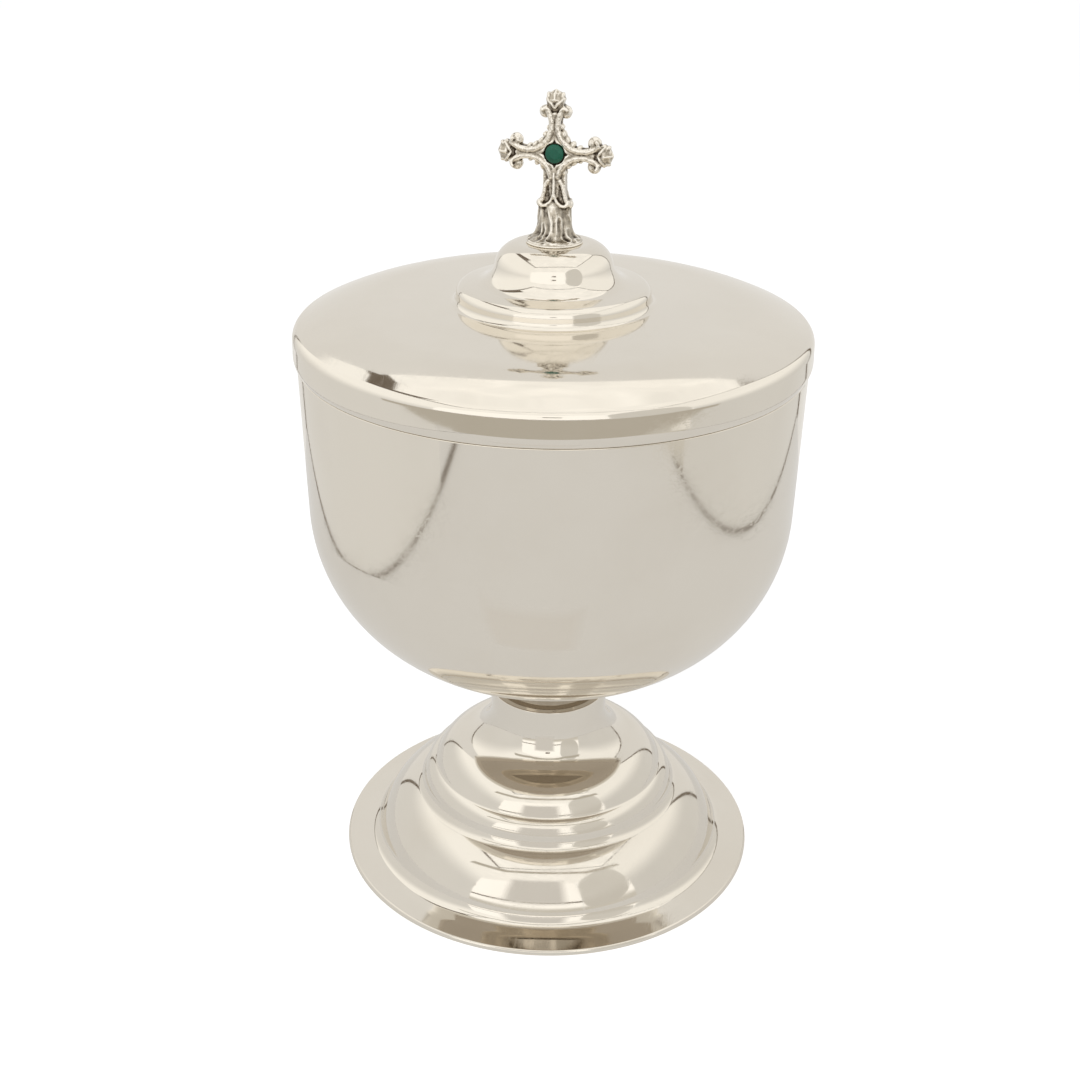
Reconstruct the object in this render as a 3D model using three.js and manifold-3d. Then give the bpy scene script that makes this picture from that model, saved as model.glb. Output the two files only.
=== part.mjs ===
// A lidded ciborium in polished plate: a spun foot, a collar, a deep bowl and a lift-off lid with a
// cast trefoil cross. Millimetres, +Z up, the foot stands on Z = 0, the cross lies along X.
import * as THREE from 'three';
import { mergeVertices } from 'three/addons/utils/BufferGeometryUtils.js';
import Module from 'manifold-3d';

// Foot
const footRimRadius = 46.65;
const footRimHeight = 1.25;
const footSeatWidth = 2.2;
const flangeRadius = 39.28;
const flangeRise = 2.9;
const swellRadius = 36.18;
const swellRise = 7.32;
const lowerStepRadius = 28.51;
const lowerStepRise = 3.11;
const lowerRingRadius = 28.09;
const lowerRingRise = 4.12;
const upperStepRadius = 25.62;
const upperStepRise = 1.31;
const upperRingRadius = 23.67;
const upperRingRise = 4.56;
const coveRadius = 13.11;
const coveRise = 3.12;
const footNeckRadius = 12.9;
const footNeckRise = 11.21;
const footSheet = 1.0;
// Collar between foot and bowl
const collarRadius = 12.3;
const collarWaist = 0.35;
const collarWaistBend = 12.0;
const collarHeight = 10.1;
// Bowl
const bowlLipRadius = 51.95;
const bowlTaper = 1.7;
const bowlHeight = 68.0;
const bowlCorner = 37.0;
const bowlSheet = 0.9;
// Lid
const lidOverhang = 0.8;
const lidEdgeInset = 0.85;
const lidEdgeRise = 2.4;
const lidBandHeight = 6.8;
const lidBandTaper = 0.2;
const lidSlopeWidth = 8.65;
const lidSlopeRise = 3.85;
const lidCrownRise = 0.74;
const lidSheet = 0.8;
const lidLipTurn = 0.65;
const knobRingRadius = 19.6;
const knobRingTaper = 0.15;
const knobRingHeight = 3.46;
const knobCoveRadius = 11.8;
const knobCoveRise = 1.55;
const knobRadius = 11.0;
const knobHeight = 7.0;
// Ring inside the lid that keeps it centred in the bowl
const guideDepth = 4.4;
const guideSheet = 0.7;
const guideFlange = 0.95;
// Cross
const crossSpan = 23.4;
const crossCentreHeight = 17.4;
const crossHeight = 29.6;
const crossDepth = 2.9;
const crossStep = 0.45;
const bayCentre = 5.4;
const bayRadius = 4.2;
const bayFlare = 0.7;
const beadRadius = 0.38;
const recessArc = 6.05;
const recessDepth = 0.55;
const shaftWidth = 4.5;
const shaftFlareWidth = 1.0;
const shaftFlareRise = 3.8;
const bandWidth = 2.5;
const bandEnd = 1.8;
const loopRadius = 1.45;
const lobeRadius = 1.2;
const lobeSpread = 2.0;
const lowLobeSpread = 2.8;
const budRadius = 1.75;
const trunkTopRadius = 2.9;
const trunkTopHeight = 7.2;
const trunkRidges = 5;
const trunkRidgeDepth = 0.06;
const crossBaseRadius = 5.75;
const crossBaseEdge = 0.7;
const stoneRadius = 1.95;
const stoneHeight = 1.1;
const stoneDepth = 0.9;
// Fasteners
const studRadius = 2.9;
const studHeadRadius = 8.0;
const studHeadHeight = 1.4;
const footWasherRadius = 10.2;
const footWasherThickness = 1.2;
const footNutAcrossFlats = 10.0;
const footNutHeight = 5.0;
const studEnd = 1.8;
const screwRadius = 1.9;
const screwHeadRadius = 3.5;
const screwHeadHeight = 2.4;
const screwReach = 6.0;
const lidWasherRadius = 5.0;
const lidWasherThickness = 0.8;
// Clearances
const fastenerGap = 0.25;
const guideGap = 0.25;
const stoneGap = 0.15;
const seatGap = 0.3;

const spinFacets = 28;
const smallFacets = 16;

// Radii and heights that follow from the sizes above
const lidRadius = bowlLipRadius + lidOverhang;
const lidLipInside = bowlLipRadius - bowlSheet - lidLipTurn;
const flangeHeight = footRimHeight + flangeRise;
const swellHeight = flangeHeight + swellRise;
const lowerStepHeight = swellHeight + lowerStepRise;
const lowerRingHeight = lowerStepHeight + lowerRingRise;
const upperStepHeight = lowerRingHeight + upperStepRise;
const upperRingHeight = upperStepHeight + upperRingRise;
const coveHeight = upperRingHeight + coveRise;
const footHeight = coveHeight + footNeckRise;
const bowlFloor = footHeight + collarHeight;
const lidSeat = bowlFloor + bowlHeight;
const lidShoulder = lidSeat + lidBandHeight;
const lidSlopeTop = lidShoulder + lidSlopeRise;
const lidTop = lidSlopeTop + lidCrownRise;
const knobRingTop = lidTop + knobRingHeight;
const knobCoveHeight = knobRingTop + knobCoveRise;
const knobTop = knobCoveHeight + knobHeight;
const crossCentre = knobTop + crossCentreHeight;

const silver = { color: 0xd8d2c4, roughness: 0.12, metalness: 1.0 };
const darkSilver = { color: 0xb9b2a4, roughness: 0.2, metalness: 1.0 };
const castSilver = { color: 0xcfc8b8, roughness: 0.28, metalness: 1.0 };
const brass = { color: 0xb99a5a, roughness: 0.35, metalness: 1.0 };
const steel = { color: 0x9a9a98, roughness: 0.35, metalness: 1.0 };
const greenGlass = { color: 0x1c6a50, roughness: 0.08, metalness: 0.0 };

const wasm = await Module();
wasm.setup();

// An outline in radius and height. Each corner is [radius, height, fillet], and the fillet becomes
// an arc with a step at most every 36 degrees. Two fillets that would meet on a wall both give way.
function rounded(corners, stepAngle = Math.PI / 5) {
  const spots = corners.map(([r, z]) => new THREE.Vector2(r, z));
  const bends = corners.map(([, , fillet = 0], i) => {
    if (!fillet || i === 0 || i === corners.length - 1) return { reach: 0 };
    const before = spots[i - 1].clone().sub(spots[i]).normalize();
    const after = spots[i + 1].clone().sub(spots[i]).normalize();
    const half = Math.acos(THREE.MathUtils.clamp(before.dot(after), -1, 1)) / 2;
    return { before, after, half, reach: fillet / Math.tan(half) };
  });
  for (let i = 1; i < bends.length; i++) {
    const wanted = bends[i - 1].reach + bends[i].reach;
    const share = Math.min(1, (0.98 * spots[i].distanceTo(spots[i - 1])) / (wanted || 1));
    bends[i - 1].reach *= share;
    bends[i].reach *= share;
  }
  return spots.flatMap((here, i) => {
    const { before, after, half, reach } = bends[i];
    if (reach < 0.02) return [here];
    const middle = before.clone().add(after).normalize();
    const centre = here.clone().addScaledVector(middle, reach / Math.cos(half));
    const start = here.clone().addScaledVector(before, reach).sub(centre);
    const end = here.clone().addScaledVector(after, reach).sub(centre);
    const turn = Math.atan2(start.cross(end), start.dot(end));
    const steps = Math.max(1, Math.ceil(Math.abs(turn) / stepAngle));
    return Array.from({ length: steps + 1 }, (_, k) =>
      start.clone().rotateAround(new THREE.Vector2(), (turn * k) / steps).add(centre));
  });
}

// The other face of a sheet of the given thickness: the same corners moved square to the sheet, to
// the left of the way they run, with each fillet eased or tightened to stay parallel. A bend that
// comes out tighter than the sheet is thick is left sharp.
function otherFace(corners, thickness) {
  return corners.map(([r, z, fillet = 0], i) => {
    const here = new THREE.Vector2(r, z);
    const back = new THREE.Vector2(...(corners[i - 1] ?? corners[i]));
    const ahead = new THREE.Vector2(...(corners[i + 1] ?? corners[i]));
    const incoming = i > 0 ? here.clone().sub(back).normalize() : ahead.clone().sub(here).normalize();
    const outgoing = i < corners.length - 1 ? ahead.sub(here).normalize() : incoming.clone();
    const normalIn = new THREE.Vector2(-incoming.y, incoming.x);
    const normalOut = new THREE.Vector2(-outgoing.y, outgoing.x);
    const mitre = normalIn.clone().add(normalOut).normalize();
    const shifted = here.clone().addScaledVector(mitre, thickness / mitre.dot(normalIn));
    const turnsLeft = incoming.cross(outgoing) > 0;
    const radius = fillet + (turnsLeft ? -thickness : thickness);
    return [shifted.x, shifted.y, fillet && radius > thickness ? radius : 0];
  });
}

// A spun or turned piece: the outline is revolved about Z and always ends up with its faces out.
function revolve(points, facets = spinFacets) {
  const closed = [...points];
  const first = closed[0];
  const last = closed[closed.length - 1];
  if (first.x > 1e-6 || last.x > 1e-6) closed.push(first.clone());
  let area = 0;
  for (let i = 0; i < closed.length; i++) area += closed[i].cross(closed[(i + 1) % closed.length]);
  if (area < 0) closed.reverse();
  return new THREE.LatheGeometry(closed, facets).rotateX(Math.PI / 2);
}

// A turned piece given only by its corners
function turned(corners, facets = smallFacets) {
  return revolve(rounded(corners), facets);
}

function toManifold(geometry) {
  const bare = geometry.index ? geometry.toNonIndexed() : geometry.clone();
  bare.deleteAttribute('normal');
  bare.deleteAttribute('uv');
  const merged = mergeVertices(bare, 1e-5);
  const source = merged.index.array;
  const triangles = [];
  for (let i = 0; i < source.length; i += 3) {
    const [a, b, c] = [source[i], source[i + 1], source[i + 2]];
    if (a !== b && b !== c && c !== a) triangles.push(a, b, c);
  }
  const mesh = new wasm.Mesh({
    numProp: 3,
    vertProperties: new Float32Array(merged.attributes.position.array),
    triVerts: new Uint32Array(triangles),
  });
  return new wasm.Manifold(mesh);
}

function fromManifold(solid) {
  const mesh = solid.getMesh();
  const geometry = new THREE.BufferGeometry();
  geometry.setAttribute('position', new THREE.BufferAttribute(new Float32Array(mesh.vertProperties), 3));
  geometry.setIndex([...mesh.triVerts]);
  geometry.computeVertexNormals();
  return geometry;
}

function piece(name, geometry, finish) {
  const mesh = new THREE.Mesh(geometry, new THREE.MeshStandardMaterial(finish));
  mesh.name = name;
  return mesh;
}

// Foot: one spun sheet. From the rolled rim a gentle flange runs in to a broad swelling, then to two
// narrow steps, a round shoulder and the hollow flare of the neck, closed by a disc for the stud.
function footCorners() {
  return [
    [footRimRadius, footRimHeight, 0.6],
    [flangeRadius, flangeHeight, 3.4],
    [swellRadius, swellHeight, 15.4],
    [lowerStepRadius, lowerStepHeight, 2.9],
    [lowerRingRadius, lowerRingHeight, 4.4],
    [upperStepRadius, upperStepHeight, 1.15],
    [upperRingRadius, upperRingHeight, 9.5],
    [coveRadius, coveHeight, 8.9],
    [footNeckRadius, footHeight, 0.3],
  ];
}

function foot() {
  const hole = studRadius + fastenerGap;
  const outside = [...footCorners(), [hole, footHeight]];
  const inside = otherFace(outside, footSheet);
  const rimInside = footRimRadius - footSeatWidth;
  const [flange] = inside.slice(1, 2);
  const rise = (flange[1] - inside[0][1]) / (flange[0] - inside[0][0]);
  const underFlange = [rimInside, flange[1] + rise * (rimInside - flange[0]), 0.3];
  const outline = [
    [rimInside, 0],
    [footRimRadius, 0, 0.45],
    ...outside,
    ...inside.slice(1).reverse(),
    underFlange,
    [rimInside, 0],
  ];
  return piece('foot', revolve(rounded(outline).slice(0, -1)), silver);
}

// Collar: a turned spacer that stands on the foot's disc and carries the bowl
function collar() {
  const bore = studRadius + fastenerGap;
  const headBore = studHeadRadius + fastenerGap;
  const headSeat = bowlFloor - studHeadHeight - seatGap;
  const outline = [
    [bore, footHeight],
    [collarRadius, footHeight, 0.25],
    [collarRadius - collarWaist, footHeight + collarHeight / 2, collarWaistBend],
    [collarRadius, bowlFloor, 0.2],
    [headBore, bowlFloor],
    [headBore, headSeat],
    [bore, headSeat],
  ];
  return piece('stem_collar', turned(outline, spinFacets), darkSilver);
}

// Bowl: a deep spun cup with one large corner radius and a slight taper, open at the top
function bowlCorners() {
  return [
    [0, bowlFloor],
    [bowlLipRadius - bowlTaper, bowlFloor, bowlCorner],
    [bowlLipRadius, lidSeat],
  ];
}

function bowl() {
  const outside = bowlCorners();
  const inside = otherFace(outside, bowlSheet);
  inside[0][0] = 0;
  const innerLip = [inside[2][0], lidSeat, 0.2];
  const outline = [outside[0], outside[1], [...outside[2], 0.2], innerLip, inside[1], inside[0]];
  return piece('bowl', revolve(rounded(outline, Math.PI / 14)), silver);
}

// Stud: its flat head is soldered under the bowl, its shank passes through collar and foot
function bowlStud() {
  const shankEnd = footHeight - footSheet - footWasherThickness - footNutHeight - studEnd;
  const outline = [
    [0, shankEnd],
    [studRadius, shankEnd, 0.4],
    [studRadius, bowlFloor - studHeadHeight],
    [studHeadRadius, bowlFloor - studHeadHeight, 0.3],
    [studHeadRadius, bowlFloor],
    [0, bowlFloor],
  ];
  return piece('bowl_stud', turned(outline), brass);
}

function footWasher() {
  const top = footHeight - footSheet;
  const bore = studRadius + fastenerGap;
  const outline = [
    [bore, top - footWasherThickness],
    [footWasherRadius, top - footWasherThickness, 0.3],
    [footWasherRadius, top],
    [bore, top],
  ];
  return piece('foot_washer', turned(outline), steel);
}

function hexNut(across, bore, height, base) {
  const hex = new THREE.Shape();
  for (let k = 0; k < 6; k++) {
    const angle = (k * Math.PI) / 3;
    const corner = across / Math.sqrt(3);
    hex[k ? 'lineTo' : 'moveTo'](corner * Math.cos(angle), corner * Math.sin(angle));
  }
  hex.closePath();
  const hole = new THREE.Path();
  hole.absarc(0, 0, bore, 0, 2 * Math.PI, true);
  hex.holes.push(hole);
  const block = new THREE.ExtrudeGeometry(hex, { depth: height, bevelEnabled: false, curveSegments: 12 });
  return block.translate(0, 0, base);
}

function footNut() {
  const base = footHeight - footSheet - footWasherThickness - footNutHeight;
  return piece('foot_nut', hexNut(footNutAcrossFlats, studRadius + fastenerGap, footNutHeight, base), brass);
}

// Lid: spun in one sheet with its band, crown, knob ring and domed knob. The lower edge is turned
// in and rests on the bowl's lip.
function lidCorners() {
  const shoulderRadius = lidRadius - lidBandTaper;
  return [
    [lidRadius - lidEdgeInset, lidSeat, 0.45],
    [lidRadius, lidSeat + lidEdgeRise, 9],
    [shoulderRadius, lidShoulder, 2.2],
    [shoulderRadius - lidSlopeWidth, lidSlopeTop, 32],
    [knobRingRadius + knobRingTaper, lidTop, 1.4],
    [knobRingRadius, knobRingTop, 1.8],
    [knobCoveRadius, knobCoveHeight, 1.6],
    [knobRadius, knobTop, 5.5],
  ];
}

function lid() {
  const hole = screwRadius + fastenerGap;
  const outside = [[lidLipInside, lidSeat], ...lidCorners(), [hole, knobTop]];
  const inside = otherFace(outside, lidSheet);
  return piece('lid', revolve(rounded([...outside, ...inside.reverse()])), silver);
}

// Guide ring: a strip that drops into the bowl, with a flange held on the lid's turned-in edge
function lidGuideRing() {
  const outer = lidLipInside - guideGap;
  const inner = outer - guideSheet;
  const flangeSeat = lidSeat + lidSheet;
  const flangeRadius = outer + guideFlange;
  const outline = [
    [inner, lidSeat - guideDepth],
    [outer, lidSeat - guideDepth],
    [outer, flangeSeat],
    [flangeRadius, flangeSeat],
    [flangeRadius, flangeSeat + guideSheet],
    [inner, flangeSeat + guideSheet],
  ];
  return piece('lid_guide_ring', turned(outline, spinFacets), silver);
}

// Cross: four round bays between the arms set its form. A flat star with those bays is the outer
// layer, a narrower star of the same centres stands proud of it front and back, and a bead runs
// round each bay. Down the shaft runs a band that ends in a ridge and two loops. The cross is drawn
// upright about its centre, with the front towards +Z, and stood up at the end.
const armEnd = bayCentre + bayRadius * Math.sin(bayFlare);
const lowReach = crossCentreHeight - trunkTopHeight;
const bayPlaces = [0, 1, 2, 3].map((k) => {
  const turn = (k * Math.PI) / 2;
  const centre = new THREE.Vector2(bayCentre, bayCentre).rotateAround(new THREE.Vector2(), turn);
  return { turn, centre };
});

function slab(shape, depth, bevel) {
  const block = new THREE.ExtrudeGeometry(shape, {
    depth: depth - 2 * bevel,
    bevelThickness: bevel,
    bevelSize: bevel,
    bevelOffset: -bevel,
    bevelSegments: 1,
    curveSegments: 4,
  });
  return toManifold(block.translate(0, 0, bevel - depth / 2));
}

// A four-armed star: one arc round each bay, joined by the ends of the arms. The lower arm may flare
// less than the others.
function star(arc, flare, lowFlare = flare) {
  const shape = new THREE.Shape();
  bayPlaces.forEach(({ turn, centre }, k) => {
    const start = turn + Math.PI * 1.5 + (k === 3 ? lowFlare : flare);
    const end = turn + Math.PI - (k === 2 ? lowFlare : flare);
    shape.absarc(centre.x, centre.y, arc, start, end, true);
  });
  shape.closePath();
  return shape;
}

function shaftOutline() {
  const half = shaftWidth / 2;
  const foot = half + shaftFlareWidth;
  const top = -bayCentre / 2;
  const start = -lowReach + shaftFlareRise;
  const middle = -lowReach + shaftFlareRise * 0.53;
  const end = -lowReach + shaftFlareRise * 0.26;
  const shape = new THREE.Shape();
  shape.moveTo(-half, top);
  shape.lineTo(-half, start);
  shape.quadraticCurveTo(-half, middle, -foot, end);
  shape.lineTo(-foot, -lowReach);
  shape.lineTo(foot, -lowReach);
  shape.lineTo(foot, end);
  shape.quadraticCurveTo(half, middle, half, start);
  shape.lineTo(half, top);
  shape.closePath();
  return shape;
}

function bandOutline() {
  const half = bandWidth / 2;
  const end = -lowReach + bandEnd;
  const shape = new THREE.Shape();
  shape.moveTo(-half, -bayCentre / 2);
  shape.lineTo(-half, end + half);
  shape.lineTo(0, end);
  shape.lineTo(half, end + half);
  shape.lineTo(half, -bayCentre / 2);
  shape.closePath();
  return shape;
}

// A bead along a row of points on the front face
function bead(route) {
  const section = new THREE.Shape().absarc(0, 0, beadRadius, 0, 2 * Math.PI);
  const tube = new THREE.ExtrudeGeometry(section, {
    steps: route.length - 1,
    curveSegments: 3,
    extrudePath: new THREE.CatmullRomCurve3(route),
  });
  return toManifold(tube);
}

function arcRoute(centre, arc, from, to, steps) {
  return Array.from({ length: steps + 1 }, (_, k) => {
    const angle = from + ((to - from) * k) / steps;
    return new THREE.Vector3(centre.x + arc * Math.cos(angle), centre.y + arc * Math.sin(angle), crossDepth / 2);
  });
}

// The bead round one bay curls past the arms into their lobes, but stops short on the lower arm
function bayBead({ turn, centre }, k) {
  const from = turn + Math.PI - (k === 2 ? 0 : bayFlare);
  const to = turn + Math.PI * 1.5 + (k === 3 ? 0 : bayFlare);
  return bead(arcRoute(centre, bayRadius + crossStep + beadRadius, from, to, 7));
}

// Each loop leaves the ridge on the band, dips and rises again into a lobe beside the shaft
function loopBead(side) {
  const centre = new THREE.Vector2(side * (loopRadius + 0.25), -lowReach + loopRadius);
  const from = side > 0 ? Math.PI * 0.95 : Math.PI * 0.05;
  const to = side > 0 ? Math.PI * 1.9 : -Math.PI * 0.9;
  return bead(arcRoute(centre, loopRadius, from, to, 5));
}

function lobe(x, y) {
  const ball = new THREE.SphereGeometry(lobeRadius, 8, 6).scale(1, 1, 0.95);
  return toManifold(ball.translate(x, y, 0));
}

// A bud closes an arm: a neck, a turned swelling and a point
function bud(length, turn) {
  const outline = [
    [0, 0],
    [budRadius * 0.65, 0],
    [budRadius * 0.55, length * 0.25],
    [budRadius * 0.93, length * 0.47],
    [budRadius, length * 0.6],
    [budRadius * 0.78, length * 0.8],
    [budRadius * 0.34, length * 0.93],
    [0, length],
  ];
  const points = outline.map(([r, h]) => new THREE.Vector2(r, armEnd - 0.3 + h));
  return toManifold(new THREE.LatheGeometry(points, 8).scale(1, 1, 0.86).rotateZ(turn));
}

// The trunk stands on a round base and narrows to the shaft, with upright ridges like rough stone
function trunk() {
  const low = -crossCentreHeight;
  const top = low + trunkTopHeight;
  const disc = rounded([
    [0, low],
    [crossBaseRadius, low],
    [crossBaseRadius, low + crossBaseEdge, 0.25],
    [0, low + crossBaseEdge],
  ]);
  const flare = rounded([
    [0, low + crossBaseEdge / 2],
    [crossBaseRadius - 0.6, low + crossBaseEdge / 2],
    [crossBaseRadius - 0.6, low + crossBaseEdge],
    [trunkTopRadius + 0.4, low + crossBaseEdge + 2.2, 3.0],
    [trunkTopRadius, top - 0.4],
    [trunkTopRadius * 0.75, top + 0.6],
    [0, top + 0.6],
  ]);
  const rock = new THREE.LatheGeometry(flare, 3 * trunkRidges);
  const spots = rock.attributes.position;
  for (let i = 0; i < spots.count; i++) {
    const ridge = 1 + trunkRidgeDepth * Math.cos(trunkRidges * Math.atan2(spots.getX(i), spots.getZ(i)));
    spots.setXYZ(i, spots.getX(i) * ridge, spots.getY(i), spots.getZ(i) * ridge * 0.85);
  }
  return toManifold(new THREE.LatheGeometry(disc, 20)).add(toManifold(rock));
}

function cross() {
  let solid = slab(star(bayRadius, bayFlare), crossDepth - 2 * crossStep, 0.3);
  solid = solid.add(slab(star(bayRadius + crossStep, bayFlare, 0), crossDepth, 0.25));
  solid = solid.add(slab(shaftOutline(), crossDepth - crossStep, 0.35));
  solid = solid.add(slab(bandOutline(), crossDepth + 0.1, 0.2));
  solid = solid.add(trunk());

  const ridgeEnds = [-bayCentre, -lowReach + loopRadius];
  const ridge = bead(ridgeEnds.map((y) => new THREE.Vector3(0, y, crossDepth / 2)));
  for (const part of [...bayPlaces.map(bayBead), loopBead(-1), loopBead(1), ridge]) {
    solid = solid.add(part).add(part.mirror([0, 0, 1]));
  }

  solid = solid.add(bud(crossHeight - crossCentreHeight - armEnd + 0.3, 0));
  for (const side of [-1, 1]) {
    solid = solid.add(bud(crossSpan / 2 - armEnd + 0.3, (side * Math.PI) / 2));
    solid = solid.add(lobe(side * (armEnd - 0.3), lobeSpread)).add(lobe(side * (armEnd - 0.3), -lobeSpread));
    solid = solid.add(lobe(side * lobeSpread, armEnd - 0.2));
    solid = solid.add(lobe(side * lowLobeSpread, -lowReach + 0.4));
  }

  const front = crossDepth / 2;
  const cusp = bayCentre - Math.sqrt(recessArc ** 2 - bayCentre ** 2);
  const lean = Math.atan2(bayCentre, bayCentre - cusp) - Math.PI / 2;
  const recess = new THREE.ExtrudeGeometry(star(recessArc, lean), {
    depth: 2, bevelEnabled: false, curveSegments: 4,
  });
  solid = solid.subtract(toManifold(recess.translate(0, 0, front - recessDepth)));
  const pocket = new THREE.CylinderGeometry(stoneRadius + stoneGap, stoneRadius + stoneGap, 2, smallFacets);
  solid = solid.subtract(toManifold(pocket.rotateX(Math.PI / 2).translate(0, 0, front - stoneDepth + 1)));
  const bore = screwRadius + fastenerGap;
  const boreDepth = screwReach + seatGap;
  const screwHole = new THREE.CylinderGeometry(bore, bore, boreDepth + 1, smallFacets);
  solid = solid.subtract(toManifold(screwHole.translate(0, -crossCentreHeight + (boreDepth - 1) / 2, 0)));
  return piece('cross', fromManifold(solid).rotateX(Math.PI / 2).translate(0, 0, crossCentre), castSilver);
}

// Stone: a round cabochon on the floor of its pocket in the front of the cross
function stone() {
  const crown = stoneHeight * 0.55;
  const outline = rounded([
    [0, 0],
    [stoneRadius, 0],
    [stoneRadius, crown, 0.25],
    [stoneRadius * 0.6, stoneHeight, 1.2],
    [0, stoneHeight],
  ]);
  const geometry = revolve(outline, smallFacets).rotateX(Math.PI / 2);
  return piece('cross_stone', geometry.translate(0, -(crossDepth / 2 - stoneDepth), crossCentre), greenGlass);
}

// Screw and washer inside the knob, which pull the cross down on the lid
function lidWasher() {
  const top = knobTop - lidSheet;
  const bore = screwRadius + fastenerGap;
  const outline = [
    [bore, top - lidWasherThickness],
    [lidWasherRadius, top - lidWasherThickness, 0.2],
    [lidWasherRadius, top],
    [bore, top],
  ];
  return piece('lid_washer', turned(outline), steel);
}

function crossScrew() {
  const seat = knobTop - lidSheet - lidWasherThickness;
  const outline = [
    [0, seat - screwHeadHeight],
    [screwHeadRadius, seat - screwHeadHeight, 1.1],
    [screwHeadRadius, seat],
    [screwRadius, seat],
    [screwRadius, knobTop + screwReach, 0.3],
    [0, knobTop + screwReach],
  ];
  return piece('cross_screw', turned(outline), steel);
}

export default new THREE.Group().add(
  foot(), collar(), bowl(), bowlStud(), footWasher(), footNut(),
  lid(), lidGuideRing(), cross(), stone(), crossScrew(), lidWasher(),
);
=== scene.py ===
import math

import bpy
import bmesh
import numpy as np
from mathutils import Matrix, Vector, noise


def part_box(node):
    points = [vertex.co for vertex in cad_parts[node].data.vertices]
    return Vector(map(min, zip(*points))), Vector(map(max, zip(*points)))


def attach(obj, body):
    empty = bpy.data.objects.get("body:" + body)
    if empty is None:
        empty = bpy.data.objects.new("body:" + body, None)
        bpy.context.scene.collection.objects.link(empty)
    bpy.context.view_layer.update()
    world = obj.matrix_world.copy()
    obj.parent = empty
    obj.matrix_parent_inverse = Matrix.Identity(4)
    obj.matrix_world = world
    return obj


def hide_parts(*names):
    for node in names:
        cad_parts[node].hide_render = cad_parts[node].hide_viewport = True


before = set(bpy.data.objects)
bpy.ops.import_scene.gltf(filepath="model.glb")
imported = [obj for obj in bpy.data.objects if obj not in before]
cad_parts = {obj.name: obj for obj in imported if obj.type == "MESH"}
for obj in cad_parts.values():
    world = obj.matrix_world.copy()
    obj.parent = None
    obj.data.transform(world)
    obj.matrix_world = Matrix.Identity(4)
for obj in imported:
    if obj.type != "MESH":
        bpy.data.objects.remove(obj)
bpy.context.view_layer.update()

# ------------------------------------------------------------------------------ camera
# A long view from the front and above. The cross lies along X, so the camera stands 13.5 degrees
# round from its front.
TURN = Matrix.Rotation(math.radians(13.5), 3, "Z")

camera = bpy.data.objects.new("camera", bpy.data.cameras.new("camera"))
bpy.context.scene.collection.objects.link(camera)
bpy.context.scene.camera = camera
camera.data.sensor_width = 36.0
camera.data.lens = 51.413
camera.data.clip_start, camera.data.clip_end = 0.01, 30.0
down, yaw, roll = (math.radians(a) for a in (25.465, -0.432, -0.567))
ahead = Vector((math.sin(yaw) * math.cos(down), math.cos(yaw) * math.cos(down), -math.sin(down)))
aside = Vector((math.cos(yaw), -math.sin(yaw), 0.0))
below = ahead.cross(aside)
right = math.cos(roll) * aside + math.sin(roll) * below
under = -math.sin(roll) * aside + math.cos(roll) * below
looks = Matrix([TURN @ v for v in (right, -under, -ahead)]).transposed().to_4x4()
STAND = Vector((0.0, -0.30181, 0.21851))
camera.matrix_world = Matrix.Translation(TURN @ STAND) @ looks


# ------------------------------------------------------------------------------ foot
# The foot is one disc of sheet metal, spun over a wooden form into a gentle flange, a broad
# swelling, two narrow steps and a hollow flare, then plated and buffed to a mirror. Its rim is
# rolled and flat below.
def rounded(corners, bend=5.0):
    """Corners (radius, height, fillet) in mm as rings, and the outward direction at both ends of
    each step between them. The outline runs with the metal on its left."""
    spots = [np.array(c[:2], float) for c in corners]
    rings, heads = [], []

    def step_to(spot, start, end):
        if rings and np.hypot(*(spot - rings[-1])) < 1e-6:
            return
        if rings:
            heads.append((start, end))
        rings.append(spot)

    def outward(p, q):
        d = (q - p) / np.hypot(*(q - p))
        return np.array((d[1], -d[0]))

    for k, spot in enumerate(spots):
        fillet = corners[k][2] if len(corners[k]) > 2 else 0.0
        wall = outward(spots[k - 1], spot) if k else None
        if not fillet:
            step_to(spot, wall, wall)
            continue
        back = (spots[k - 1] - spot) / np.hypot(*(spots[k - 1] - spot))
        on = (spots[k + 1] - spot) / np.hypot(*(spots[k + 1] - spot))
        half = math.acos(np.clip(back @ on, -1, 1)) / 2
        between = (back + on) / np.hypot(*(back + on))
        centre = spot + between * fillet / math.sin(half)
        first = spot + back * fillet / math.tan(half)
        convex = 1.0 if back[0] * on[1] - back[1] * on[0] < 0 else -1.0
        step_to(first, wall, wall)
        turn = convex * (math.pi - 2 * half)
        steps = max(2, math.ceil(math.degrees(abs(turn)) / bend))
        arm = first - centre
        for i in range(1, steps + 1):
            ends = []
            for a in (turn * (i - 1) / steps, turn * i / steps):
                c, s = math.cos(a), math.sin(a)
                ends.append(np.array((c * arm[0] - s * arm[1], s * arm[0] + c * arm[1])))
            step_to(centre + ends[1], convex * ends[0] / fillet, convex * ends[1] / fillet)
    return np.array(rings), np.array(heads)


def other_face(corners, sheet):
    """The corners of the sheet's inner face, parallel to the outer one. Tight bends stay sharp."""
    spots = [np.array(c[:2], float) for c in corners]
    walls = [(q - p) / np.hypot(*(q - p)) for p, q in zip(spots, spots[1:])]
    out = [np.array((d[1], -d[0])) for d in walls]
    inner = [tuple(spots[0] - sheet * out[0])]
    for k in range(1, len(spots) - 1):
        a, b = out[k - 1], out[k]
        fillet = corners[k][2] if len(corners[k]) > 2 else 0.0
        convex = walls[k - 1][0] * walls[k][1] - walls[k - 1][1] * walls[k][0] > 0
        if fillet:
            fillet = max(0.0, fillet - sheet) if convex else fillet + sheet
        inner.append((*(spots[k] - sheet * (a + b) / (1 + a @ b)), fillet))
    inner.append(tuple(spots[-1] - sheet * out[-1]))
    return inner


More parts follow.
